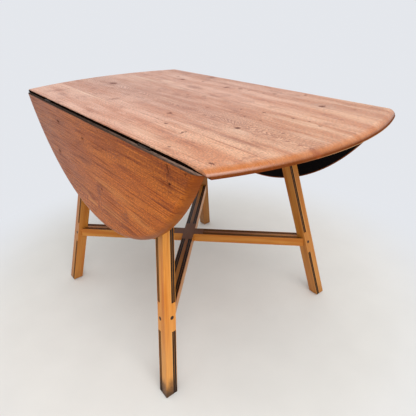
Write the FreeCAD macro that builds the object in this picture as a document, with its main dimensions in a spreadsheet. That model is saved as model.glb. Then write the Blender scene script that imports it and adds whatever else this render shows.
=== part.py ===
import FreeCAD, Part
import os

# Drop-leaf dining table with both leaves hanging, millimetres, +Z up, floor at z = 0.
# +X runs along the leaf hinges, front is -Y, the origin is under the middle of the top.

SIZES = [
    ("table_height", 715.0, "floor to the top face"),
    ("top_thickness", 15.0, "thickness of the top and of each leaf"),
    ("lip_height", 10.5, "top face down to the hinge axis"),
    ("top_width", 612.0, "fixed top between its straight hinge edges"),
    ("end_reach", 575.0, "middle of the table to the crown of a curved end"),
    ("end_bulge", 64.0, "crown of a curved end out past its corners"),
    ("round_radius", 21.0, "rounding of the curved edges"),
    ("rebate_clearance", 0.7, "room behind a leaf in the rebate under the hinge edge"),
    ("joint_gap", 0.3, "gap between a leaf and the top"),
    ("oval_setback", 3.0, "crown of a curved end back to the tip of the leaf oval"),
    ("leaf_drop", 316.4, "hinge axis to the low point of a leaf"),
    ("head_setback_x", 358.8, "crown of a curved end back to the leg heads"),
    ("head_setback_y", 88.8, "hinge edge back to the leg heads"),
    ("splay_x", 140.6, "lean of a leg along X, head to foot"),
    ("splay_y", 132.8, "lean of a leg along Y, head to foot"),
    ("leg_width", 35.6, "width of a leg, measured level"),
    ("leg_round", 1.2, "rounding of the long leg edges"),
    ("foot_bevel", 3.0, "bevel round the bottom of a foot"),
    ("stretcher_level", 240.6, "floor to the top of the stretchers"),
    ("stretcher_height", 30.6, "depth of a stretcher"),
    ("stretcher_width", 38.0, "width of a stretcher"),
    ("groove_width", 5.0, "one reeded groove"),
    ("groove_ridge", 1.6, "ridge between the two grooves of a band"),
    ("groove_edge", 1.6, "edge of the wood to the first groove"),
    ("groove_depth", 1.6, "depth of a groove"),
    ("band_below", 23.0, "stretchers down to the lower leg band"),
    ("band_above", 25.4, "stretchers up to the upper leg band"),
    ("band_start", 52.0, "crossing to the start of a stretcher band"),
    ("stretcher_round", 6.0, "rounding of the corners at a stretcher's ends"),
    ("plug_inset", 12.5, "inner leg edge to the middle of a plug"),
    ("plug_radius", 4.6, "radius of a plug"),
    ("plug_depth", 8.0, "depth of a plug"),
    ("leg_screw_head", 4.0, "head radius of a screw under a plug"),
    ("leg_screw_cap", 3.0, "head height of a screw under a plug"),
    ("leg_screw_shank", 1.75, "shank radius of a screw under a plug"),
    ("leg_screw_bite", 11.0, "depth of a leg screw in a stretcher"),
    ("leg_screw_gap", 0.5, "gap between the two crossing screws of a leg"),
    ("rail_height", 60.0, "depth of the underframe rails"),
    ("rail_thickness", 22.0, "thickness of the underframe rails"),
    ("tenon_thickness", 10.0, "thickness of a rail tenon"),
    ("tenon_height", 34.0, "height of a rail tenon"),
    ("tenon_gap", 0.8, "gap between the two tenons in a leg head"),
    ("top_screw_head", 4.0, "head radius of a screw into the top"),
    ("top_screw_cap", 4.0, "head height of a screw into the top"),
    ("top_screw_shank", 2.0, "shank radius of a screw into the top"),
    ("top_screw_bite", 10.0, "depth of a rail screw in the top"),
    ("top_screw_spread", 90.0, "middle of a cross rail to its screws"),
    ("counterbore", 30.0, "depth of a screw head inside its rail"),
    ("loper_width", 22.0, "width of a pull-out leaf bearer"),
    ("loper_height", 24.0, "depth of a pull-out leaf bearer"),
    ("loper_slack", 0.4, "play of a bearer in its notches"),
    ("loper_setback", 32.4, "room between a cross rail and the bearer beside it"),
    ("loper_pitch", 38.0, "from a bearer to its neighbour"),
    ("stop_radius", 3.5, "radius of a bearer's stop dowel"),
    ("stop_length", 28.0, "length of a stop dowel, half of it in the bearer"),
    ("stop_gap", 0.3, "stop dowel to the rail with the bearer pushed in"),
    ("hinge_reach", 300.0, "middle of the table to a hinge"),
    ("hinge_width", 50.0, "width of a hinge"),
    ("hinge_flap", 40.0, "hinge axis to the end of a flap"),
    ("flap_thickness", 2.0, "thickness of a hinge flap"),
    ("knuckle_radius", 3.0, "outside radius of a hinge knuckle"),
    ("knuckle_span", 18.0, "room between the outer knuckles"),
    ("knuckle_play", 0.3, "play on each side of the middle knuckle"),
    ("pin_radius", 1.5, "radius of a hinge pin"),
    ("pin_play", 0.05, "play between a pin and the leaf knuckle"),
    ("crank_clearance", 1.5, "turning leaf to the crank of a hinge"),
    ("crank_step", 0.3, "crown of the outer knuckles down to the crank"),
    ("leaf_setback", 4.2, "hinge axis to the flap under a leaf"),
    ("recess_slack", 0.4, "room about a hinge in the wood"),
    ("flap_screw_near", 18.0, "hinge axis to the nearer screw of a flap"),
    ("flap_screw_far", 32.0, "hinge axis to the farther screw of a flap"),
    ("flap_screw_aside", 14.0, "middle of a hinge to its screws"),
    ("flap_screw_length", 11.0, "length of a hinge screw"),
    ("flap_screw_head", 3.2, "head radius of a hinge screw"),
    ("flap_screw_shank", 1.5, "shank radius of a hinge screw"),
]

doc = FreeCAD.newDocument("DropLeafTable")
sheet = doc.addObject("Spreadsheet::Sheet", "Sizes")
for row, (alias, value, note) in enumerate(SIZES, start=1):
    sheet.set(f"A{row}", note)
    sheet.set(f"B{row}", str(value))
    sheet.setAlias(f"B{row}", alias)
doc.recompute()

X_AXIS = FreeCAD.Vector(1, 0, 0)
Y_AXIS = FreeCAD.Vector(0, 1, 0)
Z_AXIS = FreeCAD.Vector(0, 0, 1)
TURN = FreeCAD.Rotation(Z_AXIS, 180)
UPRIGHT = FreeCAD.Rotation(X_AXIS, 90)
SIDES = (("front", -1), ("back", 1))
ENDS = (("left", -1), ("right", 1))
SPARE = "1"  # how far a cutting tool reaches past the wood


def s(alias):
    """Expression that reads one size."""
    return f"Sizes.{alias}"


def now(alias):
    """Value that one size has at present."""
    return float(getattr(sheet, alias))


def bind(obj, expressions):
    """Tie properties of an object to expressions."""
    for path, expression in expressions.items():
        obj.setExpression(path, expression)
    return obj


def box(name, xs, ys, zs):
    """Block between pairs of expressions along X, Y and Z."""
    return bind(doc.addObject("Part::Box", name), {
        "Length": f"({xs[1]}) - ({xs[0]})",
        "Width": f"({ys[1]}) - ({ys[0]})",
        "Height": f"({zs[1]}) - ({zs[0]})",
        "Placement.Base.x": xs[0],
        "Placement.Base.y": ys[0],
        "Placement.Base.z": zs[0],
    })


def rod(name, axis, radius, start, length):
    """Round bar from a start point along an axis."""
    obj = doc.addObject("Part::Cylinder", name)
    obj.Placement.Rotation = FreeCAD.Rotation(Z_AXIS, axis)
    return bind(obj, {
        "Radius": radius,
        "Height": length,
        "Placement.Base.x": start[0],
        "Placement.Base.y": start[1],
        "Placement.Base.z": start[2],
    })


def cone(name, radii, start, length):
    """Upright tapered bar from a start point."""
    return bind(doc.addObject("Part::Cone", name), {
        "Radius1": radii[0],
        "Radius2": radii[1],
        "Height": length,
        "Placement.Base.x": start[0],
        "Placement.Base.y": start[1],
        "Placement.Base.z": start[2],
    })


def leaning(name, levels, low, high):
    """Leaning square bar: X and Y ranges at its lower and at its upper level."""
    obj = doc.addObject("Part::Wedge", name)
    obj.Placement.Rotation = UPRIGHT
    (low_x, low_y), (high_x, high_y) = low, high
    return bind(obj, {
        "Ymin": levels[0], "Ymax": levels[1],
        "Xmin": low_x[0], "Xmax": low_x[1],
        "Zmin": f"-({low_y[1]})", "Zmax": f"-({low_y[0]})",
        "X2min": high_x[0], "X2max": high_x[1],
        "Z2min": f"-({high_y[1]})", "Z2max": f"-({high_y[0]})",
    })


def join(name, parts):
    """One solid out of several."""
    obj = doc.addObject("Part::MultiFuse", name)
    obj.Shapes = parts
    obj.Refine = True
    return obj


def overlap(name, parts):
    """What several solids have in common."""
    obj = doc.addObject("Part::MultiCommon", name)
    obj.Shapes = parts
    return obj


def group(name, parts):
    """Several separate solids under one name."""
    obj = doc.addObject("Part::Compound", name)
    obj.Links = parts
    return obj


def cut(name, base, tools):
    """A solid less a number of tools."""
    obj = doc.addObject("Part::Cut", name)
    obj.Base = base
    obj.Tool = tools[0] if len(tools) == 1 else group(f"{name}_tools", tools)
    return obj


def dressed(kind, name, base, size, wanted):
    """Fillet or chamfer on the edges of a solid for which wanted(edge) is true."""
    doc.recompute()
    obj = doc.addObject(f"Part::{kind}", name)
    obj.Base = base
    edges = enumerate(base.Shape.Edges, start=1)
    obj.Edges = [(number, size, size) for number, edge in edges if wanted(edge)]
    return obj


def curved_rim(level):
    """Test for the edges round a face at a level that don't run straight along X."""
    return lambda edge: edge.BoundBox.ZMin > level - 0.01 and edge.BoundBox.YLength > 1


def span(centre, width):
    """Range of a width about a centre."""
    return f"({centre}) - ({width}) / 2", f"({centre}) + ({width}) / 2"


def outwards(sign, inner, outer):
    """Range between two distances from the middle, on the side given by the sign."""
    if sign > 0:
        return f"({inner})", f"({outer})"
    return f"-({outer})", f"-({inner})"


HEIGHT = s("table_height")
WIDE = f"{s('top_width')} / 2"
UNDER = f"({HEIGHT} - {s('top_thickness')})"
AXIS_LEVEL = f"({HEIGHT} - {s('lip_height')})"
BELOW_AXIS = f"({s('top_thickness')} - {s('lip_height')})"
OVAL_X = f"({s('end_reach')} - {s('oval_setback')})"
OVAL_Y = f"({WIDE} + {s('leaf_drop')})"
LEG_HEAD = {
    "x": f"({s('end_reach')} - {s('head_setback_x')})",
    "y": f"({WIDE} - {s('head_setback_y')})",
}
PARTS = {}


def keep(label, obj):
    """Names a finished piece."""
    obj.Label = label
    PARTS[label] = obj
    return obj


def at_hinge(obj, sign, folded):
    """Places a piece drawn about the hinge axis, on one side of the table."""
    turn = TURN if sign < 0 else FreeCAD.Rotation()
    fold = FreeCAD.Rotation(X_AXIS, -90 if folded else 0)
    obj.Placement.Rotation = turn.multiply(fold)
    return bind(obj, {
        "Placement.Base.y": f"{sign} * {WIDE}",
        "Placement.Base.z": AXIS_LEVEL,
    })


def leg_reach(along, level):
    """Outer face of the legs at a level, along X or Y."""
    return f"({LEG_HEAD[along]} + {s(f'splay_{along}')} * (1 - ({level}) / {UNDER}))"


def leg_bar(name, signs, levels, depths):
    """Leaning bar in a leg, between depths under its outer X face and its outer Y face."""
    ranges = []
    for level in levels:
        pair = []
        for along, sign in zip("xy", signs):
            outer = leg_reach(along, level)
            near, far = depths[along]
            pair.append(outwards(sign, f"{outer} - ({far})", f"{outer} - ({near})"))
        ranges.append(pair)
    return leaning(name, levels, *ranges)


# Hinges, drawn about their axis with the leaf level: +Y away from the table.
FLAP = (f"-{BELOW_AXIS}", f"{s('flap_thickness')} - {BELOW_AXIS}")
KNUCKLE = s("knuckle_radius")
MIDDLE_SPAN = f"({s('knuckle_span')} - 2 * {s('knuckle_play')})"
OUTER_SPAN = f"({s('hinge_width')} - {s('knuckle_span')}) / 2"
REBATE = f"({BELOW_AXIS} + {s('rebate_clearance')})"
CRANK = f"({BELOW_AXIS} + {s('crank_clearance')})"
CRANK_BACK = f"({CRANK} + {s('flap_thickness')})"
CRANK_TOP = f"({KNUCKLE} - {s('crank_step')})"


def hinge_spot(sign):
    """Middle of a hinge along the X of its side of the table."""
    return f"({sign} * {s('hinge_reach')})"


def flap_screws(name, spot, row):
    """Two countersunk screws that go up through a hinge flap."""
    screws = []
    for end, (_, sign) in zip(("near", "far"), ENDS):
        across = f"{spot} + {sign} * {s('flap_screw_aside')}"
        start = (across, f"{row} * {s(f'flap_screw_{end}')}", f"-{BELOW_AXIS}")
        radii = (s("flap_screw_head"), s("flap_screw_shank"))
        head = cone(f"{name}_{end}_head", radii, start, s("flap_thickness"))
        shank = rod(f"{name}_{end}_shank", Z_AXIS, radii[1], start, s("flap_screw_length"))
        screws.append(join(f"{name}_{end}", [head, shank]))
    return screws


def top_flap(name, spot, screws):
    """Cranked hinge flap under the top, with the two outer knuckles."""
    wide = span(spot, s("hinge_width"))
    pieces = [box(f"{name}_flap", wide, (f"-{s('hinge_flap')}", f"-{CRANK}"), FLAP)]
    ends = ((wide[0], f"{wide[0]} + {OUTER_SPAN}"), (f"{wide[1]} - ({OUTER_SPAN})", wide[1]))
    for (end, _), xs in zip(ENDS, ends):
        web_zs = (FLAP[0], CRANK_TOP)
        arm_zs = (f"{CRANK_TOP} - {s('flap_thickness')}", CRANK_TOP)
        pieces.append(box(f"{name}_web_{end}", xs, (f"-{CRANK_BACK}", f"-{CRANK}"), web_zs))
        pieces.append(box(f"{name}_arm_{end}", xs, (f"-{CRANK_BACK}", "0"), arm_zs))
        pieces.append(rod(f"{name}_knuckle_{end}", X_AXIS, KNUCKLE, (xs[0], "0", "0"), OUTER_SPAN))
    bore = rod(f"{name}_bore", X_AXIS, s("pin_radius"), (wide[0], "0", "0"), s("hinge_width"))
    return cut(name, join(f"{name}_solid", pieces), [bore] + screws)


def leaf_flap(name, spot, screws):
    """Hinge flap under a leaf, with the middle knuckle."""
    middle = span(spot, MIDDLE_SPAN)
    setback = s("leaf_setback")
    pieces = [
        box(f"{name}_flap", span(spot, s("hinge_width")), (setback, s("hinge_flap")), FLAP),
        box(f"{name}_neck", middle, ("0", setback), FLAP),
        box(f"{name}_web", middle, ("0", KNUCKLE), (FLAP[0], "0")),
        rod(f"{name}_knuckle", X_AXIS, KNUCKLE, (middle[0], "0", "0"), MIDDLE_SPAN),
    ]
    bore_radius = f"{s('pin_radius')} + {s('pin_play')}"
    bore = rod(f"{name}_bore", X_AXIS, bore_radius, (middle[0], "0", "0"), MIDDLE_SPAN)
    return cut(name, join(f"{name}_solid", pieces), [bore] + screws)


def flap_recess(name, spot, row):
    """Room for one hinge in the wood on one side of the joint."""
    slack = s("recess_slack")
    wide = span(spot, f"{s('hinge_width')} + 2 * {slack}")
    room_depth = f"{CRANK_BACK} + {slack}" if row < 0 else s("leaf_setback")
    flap_start = REBATE if row < 0 else s("leaf_setback")
    flap_ys = outwards(row, flap_start, f"{s('hinge_flap')} + {slack}")
    return join(name, [
        box(f"{name}_flap", wide, flap_ys, FLAP),
        box(f"{name}_room", wide, outwards(row, "0", room_depth), (FLAP[0], f"{KNUCKLE} + {slack}")),
    ])


def leaf_blank(name):
    """Half of an oval slab, rounded over along its curve, drawn level."""
    oval = doc.addObject("Part::Ellipse", f"{name}_oval")
    oval.Placement.Rotation = FreeCAD.Rotation(Z_AXIS, 90)
    bottom = f"({s('lip_height')} - {s('round_radius')} - {SPARE})"
    bind(oval, {
        "MajorRadius": f"max({OVAL_X}; {OVAL_Y})",
        "MinorRadius": f"min({OVAL_X}; {OVAL_Y})",
        "Placement.Rotation.Angle": f"{OVAL_Y} > {OVAL_X} ? 90 deg : 0 deg",
        "Placement.Base.y": f"-{WIDE}",
        "Placement.Base.z": bottom,
    })
    slab = doc.addObject("Part::Extrusion", f"{name}_slab")
    slab.Base = oval
    slab.DirMode = "Custom"
    slab.Dir = Z_AXIS
    slab.Solid = True
    bind(slab, {"LengthFwd": f"{s('round_radius')} + {SPARE}"})
    wide = (f"-{OVAL_X}", OVAL_X)
    half = box(f"{name}_half", wide, (s("joint_gap"), OVAL_Y), (bottom, s("lip_height")))
    blank = overlap(f"{name}_blank", [slab, half])
    blank = dressed("Fillet", f"{name}_rounded", blank, now("round_radius"), curved_rim(now("lip_height")))
    waste = box(f"{name}_waste", wide, ("0", OVAL_Y), (f"{bottom} - {SPARE}", f"-{BELOW_AXIS}"))
    return cut(f"{name}_slabbed", blank, [waste])


top_recesses = []
top_flap_screws = []
for side, sign in SIDES:
    leaf_recesses = []
    leaf_flap_screws = []
    for end, end_sign in ENDS:
        tag = f"{side}_{end}"
        spot = hinge_spot(end_sign * sign)
        screws = flap_screws(f"top_{tag}_screw", spot, -1)
        keep(f"hinge_flap_top_{tag}", at_hinge(top_flap(f"top_flap_{tag}", spot, screws), sign, False))
        pin_start = (span(spot, s("hinge_width"))[0], "0", "0")
        pin = rod(f"pin_{tag}", X_AXIS, s("pin_radius"), pin_start, s("hinge_width"))
        keep(f"hinge_pin_{tag}", at_hinge(group(f"pin_{tag}_set", [pin]), sign, False))
        top_flap_screws.append(at_hinge(group(f"top_{tag}_screws", screws), sign, False))
        top_recesses.append(at_hinge(flap_recess(f"top_{tag}_recess", spot, -1), sign, False))
        screws = flap_screws(f"leaf_{tag}_screw", spot, 1)
        leaf_flap_screws.extend(screws)
        keep(f"hinge_flap_leaf_{tag}", at_hinge(leaf_flap(f"leaf_flap_{tag}", spot, screws), sign, True))
        leaf_recesses.append(flap_recess(f"leaf_{tag}_recess", spot, 1))
    keep(f"hinge_screws_leaf_{side}", at_hinge(group(f"leaf_{side}_screws", leaf_flap_screws), sign, True))
    let_in = join(f"leaf_{side}_let_in", leaf_recesses + leaf_flap_screws)
    leaf = cut(f"leaf_{side}_solid", leaf_blank(f"leaf_{side}"), [let_in])
    keep(f"leaf_{side}", at_hinge(leaf, sign, True))

keep("hinge_screws_top", group("top_hinge_screws", top_flap_screws))

# Leg outlines, which the rails and stretchers are scribed to.
LEG_SIGNS = {f"{side}_{end}": (sx, sy) for side, sy in SIDES for end, sx in ENDS}
WHOLE = ("0", UNDER)
LEG_SECTION = {"x": ("0", s("leg_width")), "y": ("0", s("leg_width"))}
outlines = {
    tag: leg_bar(f"leg_{tag}_outline", signs, WHOLE, LEG_SECTION)
    for tag, signs in LEG_SIGNS.items()
}

# Underframe rails with tenons into the leg heads.
RAIL = (f"({UNDER} - {s('rail_height')})", UNDER)
RAIL_MIDDLE = f"({UNDER} - {s('rail_height')} / 2)"
HEAD_X = f"({leg_reach('x', RAIL_MIDDLE)} - {s('leg_width')} / 2)"
HEAD_Y = f"({leg_reach('y', RAIL_MIDDLE)} - {s('leg_width')} / 2)"
TENON = span(RAIL_MIDDLE, s("tenon_height"))
TENON_LENGTH = f"({s('leg_width')} / 2 - {s('tenon_thickness')} / 2 - {s('tenon_gap')})"
LOPER_FLOOR = f"({UNDER} - {s('loper_slack')} - {s('loper_height')})"
LOPER_OUTER = f"({HEAD_X} - {s('rail_thickness')} / 2 - {s('loper_setback')} - {s('loper_width')} / 2)"
LOPER_INNER = f"({LOPER_OUTER} - {s('loper_pitch')})"
LOPERS = {
    "front_left": (f"-{LOPER_OUTER}", -1),
    "back_left": (f"-{LOPER_INNER}", 1),
    "front_right": (LOPER_INNER, -1),
    "back_right": (LOPER_OUTER, 1),
}
tenons = {tag: [] for tag in LEG_SIGNS}
top_screws = []


def rail_tenon(name, along, sign, cross, tag):
    """Tenon at one end of a rail that runs along X or Y."""
    inner = f"({leg_reach(along, RAIL_MIDDLE)} - {s('leg_width')})"
    run = outwards(sign, f"{inner} - {TENON_LENGTH}", f"{inner} + {TENON_LENGTH}")
    thick = span(cross, s("tenon_thickness"))
    ranges = (run, thick) if along == "x" else (thick, run)
    tenon = box(name, *ranges, TENON)
    tenons[tag].append(tenon)
    return tenon


def loper_notches(name, ys):
    """Notches for the four bearers in a rail."""
    width = f"{s('loper_width')} + 2 * {s('loper_slack')}"
    return [
        box(f"{name}_{tag}", span(spot, width), ys, (LOPER_FLOOR, UNDER))
        for tag, (spot, _) in LOPERS.items()
    ]


def top_screw(name, x, y):
    """Screw that goes up through a rail into the top, and its bore in the rail."""
    start = (x, y, f"{RAIL[0]} + {s('counterbore')}")
    length = f"{s('rail_height')} - {s('counterbore')} + {s('top_screw_bite')}"
    head = rod(f"{name}_head", Z_AXIS, s("top_screw_head"), start, s("top_screw_cap"))
    shank = rod(f"{name}_shank", Z_AXIS, s("top_screw_shank"), start, length)
    way = rod(f"{name}_way", Z_AXIS, s("top_screw_head"), (x, y, RAIL[0]),
              f"{s('counterbore')} + {s('top_screw_cap')}")
    top_screws.append(join(name, [head, shank]))
    return join(f"{name}_bore", [way, shank])


def rail(name, along, cross, ends, bores):
    """Rail between two legs along X or Y: shouldered to them, tenoned and bored."""
    thick = span(cross, s("rail_thickness"))
    run = (f"-{HEAD_X}", HEAD_X) if along == "x" else (f"-{HEAD_Y}", HEAD_Y)
    raw = box(f"{name}_raw", *((run, thick) if along == "x" else (thick, run)), RAIL)
    shouldered = cut(f"{name}_shouldered", raw, [outlines[tag] for tag, _ in ends])
    stubs = [rail_tenon(f"{name}_tenon_{tag}", along, sign, cross, tag) for tag, sign in ends]
    return cut(name, join(f"{name}_whole", [shouldered] + stubs), bores)


for side, sy in SIDES:
    cross = f"{sy} * {HEAD_Y}"
    bores = loper_notches(f"side_{side}_notch", span(cross, s("rail_thickness")))
    bores.append(top_screw(f"side_{side}_screw", "0", cross))
    ends = [(f"{side}_{end}", sx) for end, sx in ENDS]
    keep(f"side_rail_{side}", rail(f"side_{side}", "x", cross, ends, bores))
for end, sx in ENDS:
    cross = f"{sx} * {HEAD_X}"
    bores = [
        top_screw(f"cross_{end}_{side}_screw", cross, f"{sy} * {s('top_screw_spread')}")
        for side, sy in SIDES
    ]
    ends = [(f"{side}_{end}", sy) for side, sy in SIDES]
    keep(f"cross_rail_{end}", rail(f"cross_{end}", "y", cross, ends, bores))

CENTRE_YS = span("0", s("rail_thickness"))
CENTRE_END = f"({HEAD_X} - {s('rail_thickness')} / 2)"
centre_raw = box("centre_raw", (f"-{CENTRE_END}", CENTRE_END), CENTRE_YS, RAIL)
keep("centre_rail", cut("centre_notched", centre_raw, loper_notches("centre_notch", CENTRE_YS)))
keep("top_screws", group("top_screw_set", top_screws))

# Pull-out leaf bearers, flush with the side rails when pushed in, with their stop dowels.
LOPER_TOP = f"({LOPER_FLOOR} + {s('loper_height')})"
LOPER_TIP = f"({HEAD_Y} + {s('rail_thickness')} / 2)"
STOP_PLACE = f"({HEAD_Y} - {s('rail_thickness')} / 2 - {s('stop_gap')} - {s('stop_radius')})"
for tag, (spot, sign) in LOPERS.items():
    bar = box(f"loper_{tag}_bar", span(spot, s("loper_width")), (f"-{LOPER_TIP}", LOPER_TIP),
              (LOPER_FLOOR, LOPER_TOP))
    start = (spot, f"{-sign} * {STOP_PLACE}", f"{LOPER_FLOOR} - {s('stop_length')} / 2")
    dowel = rod(f"loper_{tag}_dowel", Z_AXIS, s("stop_radius"), start, s("stop_length"))
    keep(f"loper_{tag}", cut(f"loper_{tag}_solid", bar, [dowel]))
    keep(f"loper_stop_{tag}", group(f"loper_{tag}_stop", [dowel]))

# Stretchers: two diagonals, halved at the crossing, seated on the inner leg corners.
STRETCHER = (f"({s('stretcher_level')} - {s('stretcher_height')})", s("stretcher_level"))
STRETCHER_MIDDLE = f"({s('stretcher_level')} - {s('stretcher_height')} / 2)"
SEAT_X = f"({leg_reach('x', STRETCHER_MIDDLE)} - {s('leg_width')} / 2)"
SEAT_Y = f"({leg_reach('y', STRETCHER_MIDDLE)} - {s('leg_width')} / 2)"
SEAT = f"sqrt({SEAT_X} * {SEAT_X} + {SEAT_Y} * {SEAT_Y})"
LENGTH = f"({SEAT} - {s('leg_width')} * sqrt(2) / 2 + {s('stretcher_width')} / 2)"
ANGLE = f"atan({SEAT_Y} / {SEAT_X})"
STRETCHER_XS = (f"-{LENGTH}", LENGTH)
STRETCHER_YS = span("0", s("stretcher_width"))
GROOVE_PITCH = f"({s('groove_width')} + {s('groove_ridge')})"
LOWER_HALF = (STRETCHER[0], STRETCHER_MIDDLE)
UPPER_HALF = (STRETCHER_MIDDLE, STRETCHER[1])
DIAGONALS = {
    "front_left": (1, ("front_left", "back_right"), UPPER_HALF),
    "front_right": (-1, ("front_right", "back_left"), LOWER_HALF),
}


def on_diagonal(obj, sign):
    """Turns a piece drawn along X onto a diagonal."""
    obj.Placement.Rotation = FreeCAD.Rotation(Z_AXIS, 45)
    return bind(obj, {"Placement.Rotation.Angle": f"{sign} * {ANGLE}"})


def groove_start(number):
    """Edge of the wood to the first or the second groove of a band."""
    return f"({s('groove_edge')} + {number} * {GROOVE_PITCH})"


def stretcher_grooves(name):
    """Grooves along both edges of a stretcher, from beside the crossing out to the legs."""
    tools = []
    zs = (f"{STRETCHER[1]} - {s('groove_depth')}", f"{STRETCHER[1]} + {SPARE}")
    for end, end_sign in ENDS:
        along = outwards(end_sign, s("band_start"), f"{LENGTH} + {SPARE}")
        for side, side_sign in SIDES:
            for number in (0, 1):
                edge = f"({s('stretcher_width')} / 2 - {groove_start(number)})"
                across = outwards(side_sign, f"{edge} - {s('groove_width')}", edge)
                tools.append(box(f"{name}_groove_{end}_{side}_{number}", along, across, zs))
    return group(f"{name}_grooves", tools)


def is_upright(edge):
    """True for the upright edges at the ends of a stretcher."""
    return edge.BoundBox.ZLength > now("stretcher_height") / 2


# Screws from the outer leg faces into the stretchers, under dark plugs.
PLUG_LIFT = f"({s('leg_screw_shank')} + {s('leg_screw_gap')} / 2)"
PLUG_SECTION = {"x": ("0", f"2 * {s('leg_width')}"), "y": ("0", f"2 * {s('leg_width')}")}
plugs = []
leg_screws = []
leg_bores = {tag: [] for tag in LEG_SIGNS}


def leg_screw(tag, signs, along, lift):
    """Plug, screw and bore in the outer X or Y face of a leg."""
    name = f"plug_{tag}_{along}"
    other = "y" if along == "x" else "x"
    level = f"({STRETCHER_MIDDLE} + {lift} * {PLUG_LIFT})"
    outer = leg_reach(along, level)
    aside = f"({leg_reach(other, level)} - {s('leg_width')} + {s('plug_inset')})"
    sign = dict(zip("xy", signs))
    axis = (X_AXIS if along == "x" else Y_AXIS) * -sign[along]

    def under_face(depth):
        """Point on the screw's line at a depth under the face."""
        place = {along: f"{sign[along]} * ({outer} - ({depth}))", other: f"{sign[other]} * {aside}"}
        return place["x"], place["y"], level

    raw = rod(f"{name}_raw", axis, s("plug_radius"), under_face(f"-{s('plug_radius')}"),
              f"{s('plug_depth')} + {s('plug_radius')}")
    seat = under_face(s("plug_depth"))
    length = f"{s('leg_width')} - {s('plug_depth')} + {s('leg_screw_bite')}"
    head = rod(f"{name}_head", axis, s("leg_screw_head"), seat, s("leg_screw_cap"))
    shank = rod(f"{name}_shank", axis, s("leg_screw_shank"), seat, length)
    flush = leg_bar(f"{name}_flush", signs, WHOLE, PLUG_SECTION)
    plugs.append(overlap(name, [raw, flush]))
    leg_screws.append(join(f"{name}_screw", [head, shank]))
    leg_bores[tag].append(join(f"{name}_bore", [raw, leg_screws[-1]]))


for tag, signs in LEG_SIGNS.items():
    leg_screw(tag, signs, "x", 1)
    leg_screw(tag, signs, "y", -1)
keep("stretcher_plugs", group("plug_set", plugs))
keep("stretcher_screws", group("leg_screw_set", leg_screws))

crossing = {}
for name, (sign, _, _) in DIAGONALS.items():
    bar = box(f"crossing_{name}_bar", STRETCHER_XS, STRETCHER_YS, STRETCHER)
    crossing[name] = on_diagonal(group(f"crossing_{name}", [bar]), sign)
for name, (sign, tags, lost_half) in DIAGONALS.items():
    bar = box(f"stretcher_{name}_bar", STRETCHER_XS, STRETCHER_YS, STRETCHER)
    eased = dressed("Fillet", f"stretcher_{name}_eased", bar, now("stretcher_round"), is_upright)
    reeded = cut(f"stretcher_{name}_reeded", eased, [stretcher_grooves(f"stretcher_{name}")])
    tools = [outlines[tag] for tag in tags] + leg_screws
    seated = cut(f"stretcher_{name}_seated", on_diagonal(reeded, sign), [group(f"{name}_seats", tools)])
    rival = "front_right" if name == "front_left" else "front_left"
    around = box(f"halving_{name}_layer", STRETCHER_XS, STRETCHER_XS, lost_half)
    halving = overlap(f"halving_{name}", [crossing[rival], around])
    keep(f"stretcher_{name}", cut(f"stretcher_{name}_halved", seated, [halving]))

# Legs: leaning square bars with reeded bands on the two outer faces.
BANDS = {
    "low": (f"-{SPARE}", f"({STRETCHER[0]} - {s('band_below')})"),
    "high": (f"({STRETCHER[1]} + {s('band_above')})", f"{UNDER} + {SPARE}"),
}


def leg_grooves(name, signs):
    """Stopped grooves beside the inner edge of both outer faces."""
    tools = []
    for band, levels in BANDS.items():
        for along, other in ("xy", "yx"):
            for number in (0, 1):
                far = f"({s('leg_width')} - {groove_start(number)})"
                depths = {
                    along: (f"-{SPARE}", s("groove_depth")),
                    other: (f"{far} - {s('groove_width')}", far),
                }
                tools.append(leg_bar(f"{name}_groove_{band}_{along}_{number}", signs, levels, depths))
    return group(f"{name}_grooves", tools)


def is_long(edge):
    """True for the four long edges of a leg."""
    return edge.BoundBox.ZLength > now("table_height") / 2


def is_at_floor(edge):
    """True for the edges round the bottom of a foot."""
    return edge.BoundBox.ZMax < now("foot_bevel") / 2


for tag, signs in LEG_SIGNS.items():
    name = f"leg_{tag}"
    bar = leg_bar(f"{name}_bar", signs, WHOLE, LEG_SECTION)
    bevelled = dressed("Chamfer", f"{name}_bevelled", bar, now("foot_bevel"), is_at_floor)
    eased = dressed("Fillet", f"{name}_eased", bevelled, now("leg_round"), is_long)
    reeded = cut(f"{name}_reeded", eased, [leg_grooves(name, signs)])
    mortised = cut(f"{name}_mortised", reeded, tenons[tag])
    keep(name, cut(f"{name}_bored", mortised, leg_bores[tag]))

# The fixed top: straight hinge edges with a rebate below, curved and rounded ends.
BULGE = s("end_bulge")
END_RADIUS = f"(({WIDE}) * ({WIDE}) + {BULGE} * {BULGE}) / (2 * {BULGE})"
TOP_BOTTOM = f"({HEIGHT} - {s('round_radius')} - {SPARE})"
TOP_REACH = f"({s('end_reach')} + {SPARE})"
TOP_XS = (f"-{TOP_REACH}", TOP_REACH)
TOP_YS = (f"-{WIDE}", WIDE)
CLEAR_YS = (f"-{WIDE} - {SPARE}", f"{WIDE} + {SPARE}")
CLEAR_ZS = (f"{TOP_BOTTOM} - {SPARE}", f"{HEIGHT} + {SPARE}")
slab = box("top_slab", TOP_XS, TOP_YS, (TOP_BOTTOM, HEIGHT))
end_wastes = []
for end, sx in ENDS:
    start = (f"{sx} * ({s('end_reach')} - {END_RADIUS})", "0", CLEAR_ZS[0])
    disc = rod(f"top_curve_{end}", Z_AXIS, END_RADIUS, start, f"{CLEAR_ZS[1]} - ({CLEAR_ZS[0]})")
    beyond = outwards(sx, f"{s('end_reach')} - {BULGE} - {SPARE}", f"{TOP_REACH} + {SPARE}")
    end_wastes.append(cut(f"top_waste_{end}", box(f"top_end_{end}", beyond, CLEAR_YS, CLEAR_ZS), [disc]))
outline = cut("top_outline", slab, end_wastes)
top = dressed("Fillet", "top_rounded", outline, now("round_radius"), curved_rim(now("table_height")))
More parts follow.
